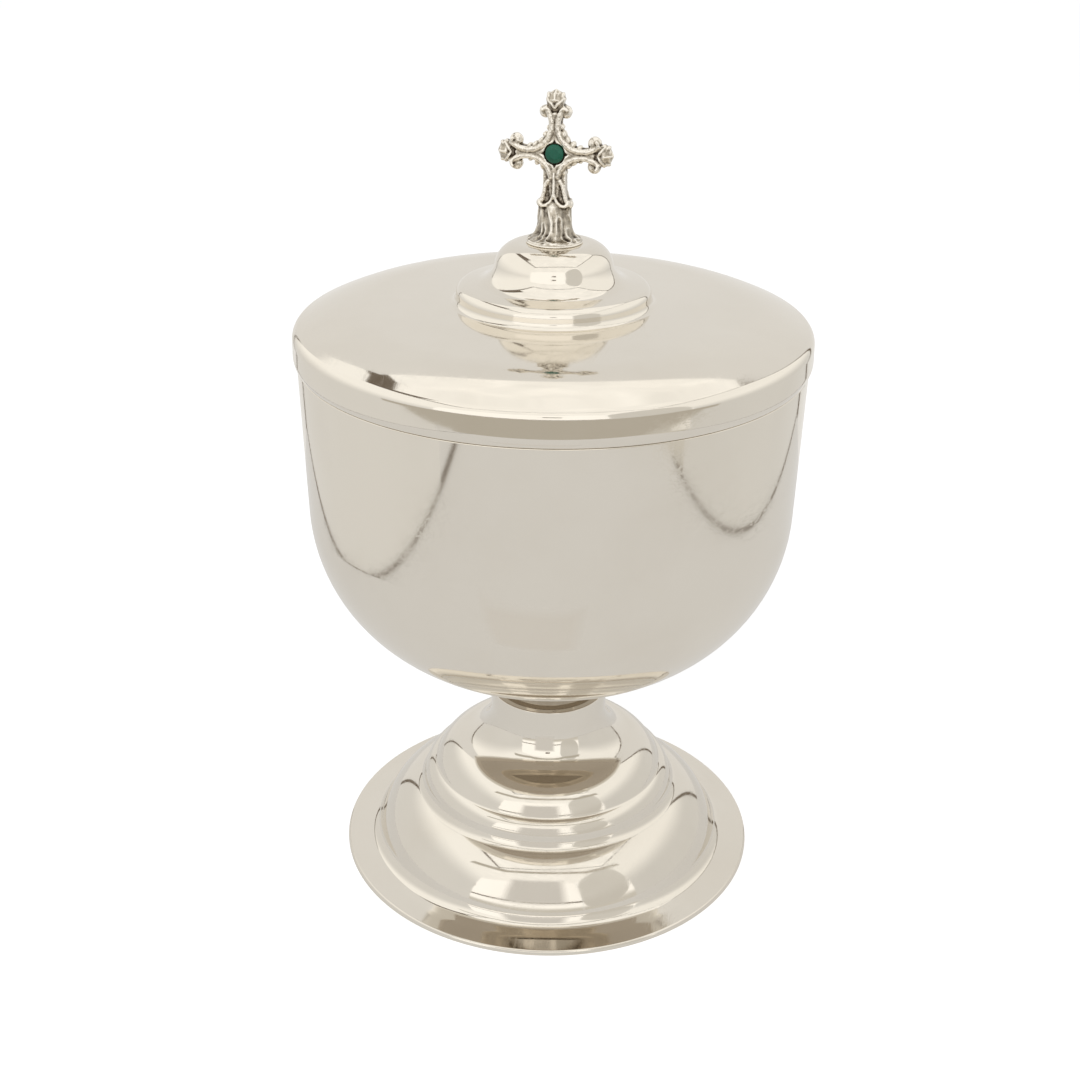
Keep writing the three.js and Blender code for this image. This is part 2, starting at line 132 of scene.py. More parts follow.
def spin(name, corners, around=160, bend=5.0, paint=None):
    """A closed body of revolution about Z, with exact normals on its fillets. paint says which
    material each step of the outline gets, from the middle of the step in mm."""
    rings, heads = rounded(corners, bend)
    angles = np.linspace(0, 2 * math.pi, around, endpoint=False)
    cs = np.stack([np.cos(angles), np.sin(angles)], 1)
    spots, first = [], []
    for r, z in rings:
        first.append(len(spots))
        if r < 1e-6:
            spots.append((0.0, 0.0, z * 0.001))
        else:
            spots += [(r * c * 0.001, r * s * 0.001, z * 0.001) for c, s in cs]
    faces, normals, finish = [], [], []
    for i, (a, b) in enumerate(heads):
        low, high = rings[i][0] < 1e-6, rings[i + 1][0] < 1e-6
        look = paint(*(rings[i] + rings[i + 1]) / 2) if paint else 0
        for j in range(around):
            n = (j + 1) % around
            lap = [(i, j, a), (i, n, a), (i + 1, n, b), (i + 1, j, b)]
            if low:
                lap = [lap[0], lap[2], lap[3]]
            if high:
                lap = lap[:3]
            faces.append([first[k] + (0 if rings[k][0] < 1e-6 else m) for k, m, _ in lap])
            normals += [(v[0] * cs[m][0], v[0] * cs[m][1], v[1]) for _, m, v in lap]
            finish.append(look)
    mesh = bpy.data.meshes.new(name)
    mesh.from_pydata(spots, [], faces)
    mesh.polygons.foreach_set("material_index", finish)
    mesh.shade_smooth()
    mesh.normals_split_custom_set(normals)
    piece = bpy.data.objects.new(name, mesh)
    bpy.context.scene.collection.objects.link(piece)
    return piece


def group(name, takes, gives):
    """An empty shader node group with float inputs (name, value), a Vector, and float outputs."""
    tree = bpy.data.node_groups.new(name, "ShaderNodeTree")
    tree.interface.new_socket("Vector", in_out="INPUT", socket_type="NodeSocketVector")
    for label, value in takes:
        socket = tree.interface.new_socket(label, in_out="INPUT", socket_type="NodeSocketFloat")
        socket.default_value = value
    for label in gives:
        tree.interface.new_socket(label, in_out="OUTPUT", socket_type="NodeSocketFloat")
    return tree, tree.nodes.new("NodeGroupInput"), tree.nodes.new("NodeGroupOutput")


def add(tree, kind, inputs=(), **settings):
    """A node with its settings, and inputs {socket: value or the output that feeds it}."""
    node = tree.nodes.new(kind)
    for key, value in settings.items():
        setattr(node, key, value)
    for key, value in dict(inputs).items():
        if isinstance(value, bpy.types.NodeSocket):
            tree.links.new(value, node.inputs[key])
        else:
            node.inputs[key].default_value = value
    return node


def maths(tree, operation, *values, clamp=False):
    """The result of a Math node."""
    return add(tree, "ShaderNodeMath", enumerate(values), operation=operation,
               use_clamp=clamp).outputs[0]


# Fine rings that the spinning tool and the buffing wheel leave round the axis
turning_lines, given, out = group("turning_lines", [("Per metre", 3000.0)], ["Lines"])
xyz = add(turning_lines, "ShaderNodeSeparateXYZ", {0: given.outputs["Vector"]})
radius = maths(turning_lines, "SQRT", maths(
    turning_lines, "ADD",
    maths(turning_lines, "MULTIPLY", xyz.outputs[0], xyz.outputs[0]),
    maths(turning_lines, "MULTIPLY_ADD", xyz.outputs[1], xyz.outputs[1], 1e-9)))
bearing = maths(turning_lines, "DIVIDE", xyz.outputs[0], radius)
ring = add(turning_lines, "ShaderNodeCombineXYZ", {
    0: maths(turning_lines, "MULTIPLY", radius, given.outputs["Per metre"]),
    1: maths(turning_lines, "MULTIPLY", xyz.outputs[2], given.outputs["Per metre"]),
    2: maths(turning_lines, "MULTIPLY", bearing, 0.7),
})
lines = add(turning_lines, "ShaderNodeTexNoise", {"Vector": ring.outputs[0], "Scale": 1.0,
                                                  "Detail": 3.0, "Roughness": 0.65})
turning_lines.links.new(lines.outputs[0], out.inputs["Lines"])

# Hairline scratches from wiping and handling, in two directions
hairlines, given, out = group("hairlines", [("Scale", 260.0), ("Cover", 0.35)], ["Mask"])
ways = []
for turn, seed in ((0.5, 0.0), (-0.9, 7.3)):
    laid = add(hairlines, "ShaderNodeMapping", {
        "Vector": given.outputs["Vector"], "Location": (seed, seed, seed),
        "Rotation": (turn, turn * 0.6, turn * 1.7), "Scale": (1.0, 0.035, 1.0)})
    strand = add(hairlines, "ShaderNodeTexNoise", {
        "Vector": laid.outputs[0], "Scale": given.outputs["Scale"], "Detail": 4.0,
        "Roughness": 0.75})
    ridge = maths(hairlines, "ABSOLUTE", maths(hairlines, "SUBTRACT", strand.outputs[0], 0.5))
    thin = maths(hairlines, "SUBTRACT", 1.0, maths(hairlines, "MULTIPLY", ridge, 60.0), clamp=True)
    ways.append(thin)
patch = add(hairlines, "ShaderNodeTexNoise", {"Vector": given.outputs["Vector"], "Scale": 45.0,
                                              "Detail": 2.0})
where = maths(hairlines, "MULTIPLY", maths(hairlines, "SUBTRACT", maths(
    hairlines, "ADD", patch.outputs[0], given.outputs["Cover"]), 0.75), 4.0, clamp=True)
both = maths(hairlines, "MAXIMUM", *ways)
hairlines.links.new(maths(hairlines, "MULTIPLY", both, where), out.inputs["Mask"])

# The sheet is never quite true after spinning: broad shallow waves bend what it mirrors
sheet_waves, given, out = group("sheet_waves", [("Scale", 60.0)], ["Height", "Bloom"])
broad = add(sheet_waves, "ShaderNodeTexNoise", {
    "Vector": given.outputs["Vector"], "Scale": given.outputs["Scale"], "Detail": 1.0})
bloom = add(sheet_waves, "ShaderNodeTexNoise", {
    "Vector": given.outputs["Vector"], "Scale": maths(sheet_waves, "MULTIPLY",
                                                      given.outputs["Scale"], 0.55),
    "Detail": 5.0, "Roughness": 0.6})
sheet_waves.links.new(broad.outputs[0], out.inputs["Height"])
sheet_waves.links.new(maths(sheet_waves, "MULTIPLY", maths(
    sheet_waves, "SUBTRACT", bloom.outputs[0], 0.42), 3.0, clamp=True), out.inputs["Bloom"])


def polished(name, bright, bloomed, rough=0.05, waves=3.5e-6, lines=2.5e-7, hair=1.2e-6,
             bloom=0.35, per_metre=3000.0, haze=0.04):
    """Buffed metal: a mirror with turning lines, hairlines, broad waves and a light bloom."""
    material = bpy.data.materials.new(name)
    material.use_nodes = True
    tree = material.node_tree
    metal = tree.nodes["Principled BSDF"]
    metal.inputs["Metallic"].default_value = 1.0
    place = tree.nodes.new("ShaderNodeTexCoord").outputs["Object"]
    groups = {}
    for tool in (turning_lines, hairlines, sheet_waves):
        groups[tool.name] = add(tree, "ShaderNodeGroup", node_tree=tool)
        tree.links.new(place, groups[tool.name].inputs["Vector"])
    groups["turning_lines"].inputs["Per metre"].default_value = per_metre
    turned = groups["turning_lines"].outputs["Lines"]
    scratch = groups["hairlines"].outputs["Mask"]
    wave, veil = groups["sheet_waves"].outputs
    colour = add(tree, "ShaderNodeMix", {
        "Factor": maths(tree, "MULTIPLY", veil, bloom),
        6: (*bright, 1.0), 7: (*bloomed, 1.0)}, data_type="RGBA")
    tree.links.new(colour.outputs[2], metal.inputs["Base Color"])
    dull = maths(tree, "MULTIPLY_ADD", scratch, 0.12, rough)
    dull = maths(tree, "MULTIPLY_ADD", veil, haze * 0.6, dull)
    dull = maths(tree, "MULTIPLY_ADD", turned, haze * 0.5, dull)
    tree.links.new(dull, metal.inputs["Roughness"])
    height = maths(tree, "MULTIPLY", wave, waves)
    height = maths(tree, "MULTIPLY_ADD", turned, lines, height)
    height = maths(tree, "MULTIPLY_ADD", scratch, -hair, height)
    relief = add(tree, "ShaderNodeBump", {"Height": height, "Distance": 1.0, "Strength": 1.0})
    tree.links.new(relief.outputs[0], metal.inputs["Normal"])
    return material


plate = polished("buffed_plate", (0.80, 0.76, 0.69), (0.71, 0.655, 0.57))

FOOT_TOP, FOOT_SHEET, STUD_HOLE = 38.9, 1.0, 3.15
foot_outside = [
    (46.65, 0.0, 0.45), (46.65, 1.25, 0.6), (43.02, 1.72, 13.5), (39.24, 2.6, 3.3),
    (36.18, 11.47, 15.4), (28.51, 14.58, 2.9), (28.09, 18.7, 4.4), (25.62, 20.01, 1.15),
    (23.67, 24.57, 9.5), (13.11, 27.69, 8.9), (12.9, FOOT_TOP, 0.3), (STUD_HOLE, FOOT_TOP),
]
seat_inside = 44.45
foot_inside = other_face([c if k else c[:2] for k, c in enumerate(foot_outside)], FOOT_SHEET)[1:]
over_flange, flange_end = foot_inside[0], foot_inside[1]
flange_slope = (flange_end[1] - over_flange[1]) / (flange_end[0] - over_flange[0])
under_flange = (seat_inside, over_flange[1] + flange_slope * (seat_inside - over_flange[0]), 0.3)
foot = spin("foot_shell", [(seat_inside, 0.0), *foot_outside, *foot_inside[:0:-1], under_flange,
                           (seat_inside, 0.0)], around=192)
foot.data.materials.append(plate)
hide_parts("foot")
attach(foot, "vessel")


# ------------------------------------------------------------------------------ collar
# A short turned collar stands on the foot and widens up to the bowl that it carries. Its plate is
# darker and browner than the sheets, as painted shade for the dark that it mirrors under the bowl.
painted_shade_plate = polished("turned_plate_painted_shade", (0.50, 0.45, 0.38), (0.42, 0.37, 0.30), rough=0.07,
                      lines=6e-7, per_metre=5200.0, bloom=0.5)
BOWL_FLOOR, HEAD_SEAT = 49.0, 47.3
collar = spin("collar_turning", [
    (STUD_HOLE, FOOT_TOP), (11.5, FOOT_TOP, 0.1), (12.35, 43.2, 30.0), (14.6, BOWL_FLOOR, 0.2),
    (8.25, BOWL_FLOOR), (8.25, HEAD_SEAT), (STUD_HOLE, HEAD_SEAT), (STUD_HOLE, FOOT_TOP),
], around=128)
collar.data.materials.append(painted_shade_plate)
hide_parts("stem_collar")
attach(collar, "vessel")


# ------------------------------------------------------------------------------ bowl
# The bowl is spun from one disc, buffed and plated outside and gilt inside, because what it
# holds must touch gold. Its lip is rounded over by hand.
LID_SEAT, BOWL_CORNER = 117.0, 37.0
bowl_outside = [(0.0, BOWL_FLOOR), (50.25, BOWL_FLOOR, BOWL_CORNER), (51.95, LID_SEAT)]
bowl_inside = other_face(bowl_outside, 0.9)
BEND_R, BEND_Z, GILT_BEND = 13.2, BOWL_FLOOR + BOWL_CORNER, 36.6
GILT_WALL, TAPER, UNDERSIDE = 51.2, 0.025, 34.0


def finish_and_shade_at(r, z):
    """0 for the polished outside, 1 for the gilt inside, 2 for the underside near the collar, which
    is darker as painted shade.
    """
    if z < BEND_Z:
        depth = math.hypot(max(r - BEND_R, 0.0), BEND_Z - z)
        return 1 if depth < GILT_BEND else 2 if r < UNDERSIDE else 0
    return int(z < LID_SEAT - 0.5 and r < GILT_WALL + (z - LID_SEAT) * TAPER)


bowl = spin("bowl_shell", [
    *bowl_outside[:2], (51.95, LID_SEAT, 0.2), (bowl_inside[2][0], LID_SEAT, 0.42),
    bowl_inside[1], (0.0, bowl_inside[0][1]),
], around=192, bend=3.0, paint=finish_and_shade_at)
gilt = polished("gilt", (0.93, 0.66, 0.27), (0.85, 0.55, 0.19), rough=0.10, waves=4e-6,
                lines=6e-7, bloom=0.5, haze=0.08)
bowl.data.materials.append(plate)
bowl.data.materials.append(gilt)
# The underside near the collar gets a darker plate colour: painted shade under the bowl
bowl.data.materials.append(polished("underside_painted_shade", (0.55, 0.485, 0.40), (0.46, 0.39, 0.31)))
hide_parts("bowl")
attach(bowl, "vessel")


# ------------------------------------------------------------------------------ stud, washer, nut
# A brass stud is soldered under the bowl by its flat head. A steel washer and a brass nut below
# pull bowl, collar and foot together. They are only seen from underneath.
def threaded(name, low, high, crest, pitch, depth, around=72, chamfer=0.5):
    """The lower end of a threaded shank, open above, as one helical surface from its end face."""
    steps = int((high - low) / pitch * 10)
    spots, faces = [(0.0, 0.0, low)], []
    for i in range(steps + 1):
        z = low + (high - low) * i / steps
        for j in range(around):
            a = 2 * math.pi * j / around
            phase = ((z - low) / pitch - j / around) % 1.0
            groove = depth * (1 - abs(2 * phase - 1))
            r = min(crest - groove, crest - chamfer + (z - low))
            spots.append((r * math.cos(a), r * math.sin(a), z))
    for j in range(around):
        faces.append((0, 1 + (j + 1) % around, 1 + j))
        for i in range(steps):
            k, m = 1 + i * around + j, 1 + i * around + (j + 1) % around
            faces.append((k, m, m + around, k + around))
    top = len(spots)
    spots.append((0.0, 0.0, high))
    for j in range(around):
        k = 1 + steps * around
        faces.append((top, k + j, k + (j + 1) % around))
    mesh = bpy.data.meshes.new(name)
    mesh.from_pydata([tuple(0.001 * v for v in s) for s in spots], [], faces)
    mesh.shade_smooth()
    mesh.set_sharp_from_angle(angle=math.radians(40))
    return mesh


def joined(name, meshes):
    """Several meshes as one piece."""
    shape = bmesh.new()
    for mesh in meshes:
        shape.from_mesh(mesh)
    whole = bpy.data.meshes.new(name)
    shape.to_mesh(whole)
    shape.free()
    piece = bpy.data.objects.new(name, whole)
    bpy.context.scene.collection.objects.link(piece)
    return piece


def hexagonal(name, across, bore, low, high, around=144):
    """A nut: six flats, both faces chamfered by a cone, and a bored thread with its lead-in."""
    corner = across / math.sqrt(3)
    tall, pitch = high - low, 1.0

    def flats(a):
        return across / 2 / math.cos((a % (math.pi / 3)) - math.pi / 6)

    cut = corner - across / 2 + 0.12
    levels = [(low, across / 2 - 0.12)] + [
        (low + cut * 0.58 * k / 6, across / 2 - 0.12 + cut * k / 6) for k in range(1, 7)]
    levels += [(high + low - z, r) for z, r in levels[::-1]]
    rings = [[(min(flats(2 * math.pi * j / around), r), z) for j in range(around)]
             for z, r in levels]
    rings.append([(bore + 0.55, high)] * around)
    steps = int(tall * 10)
    for i in range(steps + 1):
        z = high - tall * i / steps
        lead = max(0.0, 0.5 - min(high - z, z - low))
        rings.append([(bore + lead + (0 if lead else 0.35 * abs(
            2 * (((z - low) / pitch - j / around) % 1.0) - 1)) * 0.9, z) for j in range(around)])
    rings.append([(bore + 0.55, low)] * around)
    spots = [(r * math.cos(2 * math.pi * j / around), r * math.sin(2 * math.pi * j / around), z)
             for ring in rings for j, (r, z) in enumerate(ring)]
    faces = []
    for i in range(len(rings)):
        k, m = i * around, (i + 1) % len(rings) * around
        for j in range(around):
            n = (j + 1) % around
            faces.append((k + j, k + n, m + n, m + j))
    mesh = bpy.data.meshes.new(name)
    mesh.from_pydata([tuple(0.001 * v for v in s) for s in spots], [], faces)
    mesh.shade_smooth()
    mesh.set_sharp_from_angle(angle=math.radians(22))
    piece = bpy.data.objects.new(name, mesh)
    bpy.context.scene.collection.objects.link(piece)
    return piece


brass = polished("bare_brass", (0.72, 0.54, 0.26), (0.42, 0.28, 0.13), rough=0.24, waves=2e-6,
                 lines=1.5e-6, hair=3e-6, bloom=0.8, haze=0.18, per_metre=2400.0)
zinc = polished("zinc_steel", (0.62, 0.62, 0.60), (0.46, 0.46, 0.43), rough=0.30, waves=3e-6,
                lines=2e-6, hair=3e-6, bloom=0.7, haze=0.15, per_metre=2000.0)

STUD, THREAD_TOP, STUD_END = 2.9, 44.0, 29.9
head = spin("stud_head", [(0.0, 43.9), (STUD, 43.9), (STUD, 47.6), (8.0, 47.6, 0.3),
                          (8.0, 49.0), (0.0, 49.0)], around=96)
thread = threaded("stud_thread", STUD_END, THREAD_TOP, STUD, 1.0, 0.5)
stud = joined("stud", [head.data, thread])
bpy.data.objects.remove(head)
stud.data.shade_smooth()
stud.data.set_sharp_from_angle(angle=math.radians(40))
stud.data.materials.append(brass)
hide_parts("bowl_stud")
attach(stud, "vessel")

WASHER_LOW = 36.7
washer = spin("washer_below", [
    (STUD_HOLE, WASHER_LOW, 0.15), (10.2, WASHER_LOW, 0.4), (10.2, 37.9, 0.12),
    (STUD_HOLE, 37.9), (STUD_HOLE, WASHER_LOW + 0.15)], around=96)
washer.data.materials.append(zinc)
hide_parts("foot_washer")
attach(washer, "vessel")

nut = hexagonal("nut", 10.0, STUD_HOLE, 31.7, WASHER_LOW)
nut.data.materials.append(brass)
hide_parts("foot_nut")
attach(nut, "vessel")


# ------------------------------------------------------------------------------ lid
# The lid is spun in one sheet: band, rounded shoulder, almost flat crown, a stepped ring and the
# domed knob that the fingers take. Its lower edge is turned in and rests on the bowl's lip.
LID_HOLE, LID_TOP = 2.15, 140.4
lid_outside = [
    (50.4, LID_SEAT), (51.9, LID_SEAT, 0.6), (52.7, 118.3, 3.5), (52.55, 123.8, 2.2),
    (43.9, 127.65, 32.0), (19.75, 128.39, 1.4), (19.6, 131.85, 1.8), (12.6, 133.0, 4.8),
    (11.0, LID_TOP, 5.2), (LID_HOLE, LID_TOP),
]
lid_inside = other_face(lid_outside, 0.8)
lid = spin("lid_shell", [*lid_outside, *lid_inside[::-1], lid_outside[0]], around=192, bend=4.0)
lid.data.materials.append(plate)
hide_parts("lid")
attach(lid, "lid_assembly")


# ------------------------------------------------------------------------------ guide ring
# A narrow strip is bent to a ring and held on the lid's turned-in edge. It drops into the bowl
# and keeps the lid from sliding.
ring_piece = spin("guide_ring", [
    (49.45, 112.6, 0.2), (50.15, 112.6, 0.2), (50.15, 117.8), (51.1, 117.8), (51.1, 118.5, 0.15),
    (49.45, 118.5, 0.15), (49.45, 112.8)], around=192)
ring_piece.data.materials.append(plate)
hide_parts("lid_guide_ring")
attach(ring_piece, "lid_assembly")


# ------------------------------------------------------------------------------ screw and washer
# A steel screw and its washer, inside the hollow knob, pull the cross down on the lid.
lid_washer = spin("washer_in_knob", [
    (LID_HOLE, 138.8, 0.1), (5.0, 138.8, 0.25), (5.0, 139.6, 0.08), (LID_HOLE, 139.6),
    (LID_HOLE, 138.9)], around=72)
lid_washer.data.materials.append(zinc)
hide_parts("lid_washer")
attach(lid_washer, "lid_assembly")

screw_head = spin("cross_screw_turning", [
    (0.0, 136.4), (3.5, 136.4, 0.5), (3.5, 138.8, 0.1), (1.9, 138.8), (1.9, 146.4, 0.3),
    (0.0, 146.4)], around=72)
slot_cut = bpy.data.meshes.new("slot_cut")
slot_cut.from_pydata(
    [(0.001 * x, 0.001 * y, 0.001 * z) for z in (136.0, 137.4) for y in (-0.4, 0.4)
     for x in (-4.5, 4.5)], [],
    [(0, 2, 3, 1), (4, 5, 7, 6), (0, 1, 5, 4), (2, 6, 7, 3), (0, 4, 6, 2), (1, 3, 7, 5)])
cutter = bpy.data.objects.new("slot_cutter", slot_cut)
bpy.context.scene.collection.objects.link(cutter)
cut = screw_head.modifiers.new("slot", "BOOLEAN")
cut.operation, cut.object, cut.solver = "DIFFERENCE", cutter, "EXACT"


def applied(piece):
    """The piece's mesh takes the shape that its modifiers give, and they are removed."""
    seen = piece.evaluated_get(bpy.context.evaluated_depsgraph_get())
    mesh = bpy.data.meshes.new_from_object(seen)
    piece.modifiers.clear()
    piece.data = mesh
    return mesh


applied(screw_head)
bpy.data.objects.remove(cutter)
screw_head.name = "cross_screw_slotted"
screw_head.data.shade_smooth()
screw_head.data.set_sharp_from_angle(angle=math.radians(30))
screw_head.data.materials.clear()
screw_head.data.materials.append(zinc)
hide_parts("cross_screw")
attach(screw_head, "lid_assembly")


# ------------------------------------------------------------------------------ cross
# The cross is a small casting: four round bays with raised edges, trefoil ends with faceted
# buds, leafy crockets in the bays, a looped band on the shaft and a rough trunk on a round base.
# It is plated like the rest but only tumbled. Its ridges are lighter, partly rubbed bright and
# partly a painted highlight, and its hollows are darkened with painted shade.
CENTRE = 157.8      # all of the cross is drawn in mm about this height, u along X and v up
BAY, BAY_RADIUS = 5.4, 4.2
ARM_END, BASE = 8.1, -17.4
LOOPS = BASE + 7.2

casting = bmesh.new()


def skinned(rows):
    """Faces between rings of vertices, and a face at both ends."""
    count = len(rows[0])
    for low, high in zip(rows, rows[1:]):
        for j in range(count):
            n = (j + 1) % count
            casting.faces.new((low[j], low[n], high[n], high[j]))
    casting.faces.new(rows[0][::-1])
    casting.faces.new(rows[-1])


def strand(path, widths, lift=1.0):
    """A rounded ridge along points (u, y, v), elliptical in section: widths wide, lift as deep."""
    path = [Vector(p) for p in path]
    rows = []
    for k, spot in enumerate(path):
        way = (path[min(k + 1, len(path) - 1)] - path[max(k - 1, 0)]).normalized()
        side = way.cross(Vector((0, 1, 0)))
        if side.length < 1e-4:
            side = Vector((1, 0, 0))
        side.normalize()
        rise = side.cross(way).normalized()
        w = widths[k] if isinstance(widths, (list, tuple)) else widths
        across, up = side * w, rise * w * lift
        rows.append([casting.verts.new(spot + across * math.cos(a) + up * math.sin(a))
                     for a in np.linspace(0, 2 * math.pi, 12, endpoint=False)])
    skinned(rows)


def blob(spot, sizes, turn=0.0, lean=0.0):
    """An ellipsoid lump, turned in the plane of the cross and leant out of it."""
    place = (Matrix.Translation(spot) @ Matrix.Rotation(turn, 4, "Y")
             @ Matrix.Rotation(lean, 4, "X") @ Matrix.Diagonal((*sizes, 1.0)))
    bmesh.ops.create_icosphere(casting, subdivisions=3, radius=1.0, matrix=place)


def plank(outline, half):
    """A flat slab of the outline (u, v), half as thick to each side."""
    front = [casting.verts.new((u, -half, v)) for u, v in outline]
    back = [casting.verts.new((u, half, v)) for u, v in outline]
    count = len(outline)
    casting.faces.new(front)
    casting.faces.new(back[::-1])
    for k in range(count):
        n = (k + 1) % count
        casting.faces.new((front[n], front[k], back[k], back[n]))


def bay_arc(quarter, arc, start, end, count=18):
    """Points (u, v) round the bay between two arms, from the arm before it to the arm after."""
    cu, cv = (BAY * s for s in ((1, 1), (-1, 1), (-1, -1), (1, -1))[quarter])
    turn = math.pi / 2 * quarter
    return [(cu + arc * math.cos(a + turn), cv + arc * math.sin(a + turn))
            for a in np.linspace(start, end, count)]


# Ground of the cross: a thin star between the bays
FLARE = 0.70
star = []
for quarter in range(4):
    star += bay_arc(quarter, BAY_RADIUS + 0.25, math.pi * 1.5 + FLARE, math.pi - FLARE)
plank(star, 0.82)

# Raised edge round each bay, front and back, that curls outward into the lobes of the trefoils
for face in (-1, 1):
    for quarter in range(4):
        ends = [FLARE + 0.1, FLARE + 0.1]
        if quarter == 3:
            ends[0] = -0.15
        if quarter == 2:
            ends[1] = -0.15
        arc = bay_arc(quarter, BAY_RADIUS + 0.62, math.pi * 1.5 + ends[0], math.pi - ends[1], 26)
        strand([(u, face * 0.95, v) for u, v in arc], 0.6, 0.72)

# A second, lower edge inside the first leaves a groove between them
for face in (-1, 1):
    for quarter in range(4):
        arc = bay_arc(quarter, BAY_RADIUS + 1.55, math.pi * 1.5 + 0.42, math.pi - 0.42, 26)
        strand([(u, face * 0.86, v) for u, v in arc], 0.42, 0.7)

# Lobes: a round leaf on each side of an arm's end, with a ridge that winds from the arm inward
LOBES = [(s * (ARM_END - 0.35), t * 2.2, s, t, 1.38, 1) for s in (-1, 1) for t in (-1, 1)]
LOBES += [(s * 2.0, ARM_END - 0.25, s, 1, 1.26, -1) for s in (-1, 1)]
for u, v, s, t, size, way in LOBES:
    blob((u, 0, v), (size, 1.12, size))
    for face in (-1, 1):
        curl = []
        for k in np.linspace(0.0, 3.4, 12):
            r, a = size * (0.82 - 0.1 * k), math.atan2(-t, -s) + s * t * k * way
            curl.append((u + r * math.cos(a), face * (1.0 + 0.1 * k), v + r * math.sin(a)))
        strand(curl, 0.34, 0.8)

# Buds: a faceted tulip with a V of two ridges on each face and a keel up to its point
QUARTER = math.pi / 2
for reach, broad, turn in ((12.15, 1.96, 0.0), (11.65, 2.27, -QUARTER), (11.65, 2.27, QUARTER)):
    spin_to = Matrix.Rotation(-turn, 3, "Y")

    def at(side, depth, along):
        return spin_to @ Vector((side, depth, along))

    hull = []
    for s in (-1, 1):
        for d in (-1, 1):
            hull += [at(0.66 * broad * s, 0.95 * d, ARM_END + 0.1),
                     at(broad * s, 0.55 * d, reach - 1.85),
                     at(0.95 * s, 1.35 * d, reach - 2.15),
                     at(0.62 * broad * s, 0.4 * d, reach - 0.75),
                     at(0.5 * s, 0.9 * d, reach - 0.8)]
    hull += [at(0, -1.5, reach - 1.9), at(0, 1.5, reach - 1.9), at(0, 0, reach - 0.04)]
    made = bmesh.ops.convex_hull(casting, input=[casting.verts.new(spot) for spot in hull])
    loose = [g for g in made["geom_interior"] if isinstance(g, bmesh.types.BMVert)]
    bmesh.ops.delete(casting, geom=loose, context="VERTS")
    for s in (-1, 1):
        blob(at(broad * 0.62 * s, 0, reach - 1.5), (0.5, 0.95, 0.95), -turn + 0.4 * s)
        for face in (-1, 1):
            strand([at(0, face * 1.2, ARM_END + 0.5), at(s * 0.6, face * 1.36, reach - 2.7),
                    at(s * 1.25, face * 1.15, reach - 2.2),
                    at(s * broad * 0.8, face * 0.7, reach - 1.6)], [0.24, 0.26, 0.24, 0.16])
    for face in (-1, 1):
        strand([at(0, face * 1.45, reach - 2.0), at(0, face * 0.95, reach - 0.8),
                at(0, 0, reach - 0.1)], [0.16, 0.24, 0.1])

# Crockets: a row of leaves with dark gaps between them, inside each bay along its edge
for quarter in range(4):
    for k, lean in enumerate((-0.72, -0.38, -0.04, 0.3, 0.64)):
        mid = math.pi * 1.25 + lean
        (u, v), = bay_arc(quarter, BAY_RADIUS + 0.1 - 0.14 * (k % 2), mid, mid, 1)
        size = 0.86 - 0.1 * abs(k - 2)
        for face in (-1, 1):
            blob((u, face * 0.45, v), (size * 0.78, 0.6, size * 1.05),
                 QUARTER * quarter + lean * 1.6, 0.35 * face)

# Shaft: a band down the middle that ends in a ridge, beside it the bays' edges run down
left_side = [(-2.25, -2.6), (-2.25, LOOPS + 3.6), (-2.5, LOOPS + 1.8), (-2.85, LOOPS + 0.6),
             (-2.85, LOOPS - 0.6)]
plank(left_side + [(-u, v) for u, v in left_side[::-1]], 0.95)
for face in (-1, 1):
    for s in (-1, 1):
        # Edge of the shaft
        strand([(s * 1.05, face * 1.0, -5.0), (s * 1.75, face * 0.95, -6.2),
                (s * 1.95, face * 0.95, -7.4), (s * 2.35, face * 0.95, -8.8),
                (s * 2.8, face * 0.9, -9.6)], [0.42, 0.42, 0.42, 0.45, 0.5], 0.9)
        # Loop that parts from the middle ridge and curls up at its end
        strand([(s * 0.05, face * 1.35, -7.6), (s * 0.25, face * 1.35, -8.5),
                (s * 0.75, face * 1.35, -9.35), (s * 1.5, face * 1.35, -9.95),
                (s * 2.2, face * 1.25, -10.1), (s * 2.85, face * 1.05, -9.6),
                (s * 2.9, face * 0.85, -8.9)], [0.3, 0.33, 0.36, 0.4, 0.45, 0.5, 0.45])
    strand([(0, face * 1.15, -3.6), (0, face * 1.25, -5.5), (0, face * 1.35, -7.6),
            (0, face * 1.3, -8.6)], [0.25, 0.3, 0.34, 0.3])
plank([(-0.85, -3.2), (-0.95, -6.0), (-0.8, -8.2), (0, -9.3), (0.8, -8.2), (0.95, -6.0),
       (0.85, -3.2)], 1.22)
for s in (-1, 1):
    blob((s * 2.85, 0, -9.75), (0.9, 1.2, 0.9))

# Trunk: rough upright facets that flare onto the base
def zigzag(a):
    """A wave of straight flanks between -1 and 1."""
    return 2 * abs((a / math.pi) % 2.0 - 1.0) - 1


rows = []
for v, r, deep in ((BASE + 0.5, 5.3, 5.3), (BASE + 0.95, 5.1, 5.1), (BASE + 1.4, 4.1, 4.0),
                   (BASE + 2.0, 3.5, 3.2), (BASE + 2.8, 3.25, 2.9), (BASE + 3.8, 3.15, 2.7),
                   (BASE + 5.0, 3.15, 2.5), (BASE + 6.2, 3.1, 2.2), (BASE + 7.3, 2.9, 1.8),
                   (BASE + 8.3, 2.4, 1.2)):
    row = []
    for j in range(96):
        a = 2 * math.pi * j / 96
        fold = 0.15 * zigzag(4 * a + 0.9 + 0.08 * v) + 0.05 * zigzag(7 * a + 2.0 + 0.3 * v)
        k = 1 + fold * min(1.0, (v - BASE) / 2.0)
        row.append(casting.verts.new((r * k * math.cos(a), deep * k * math.sin(a), v)))
    rows.append(row)
skinned(rows)

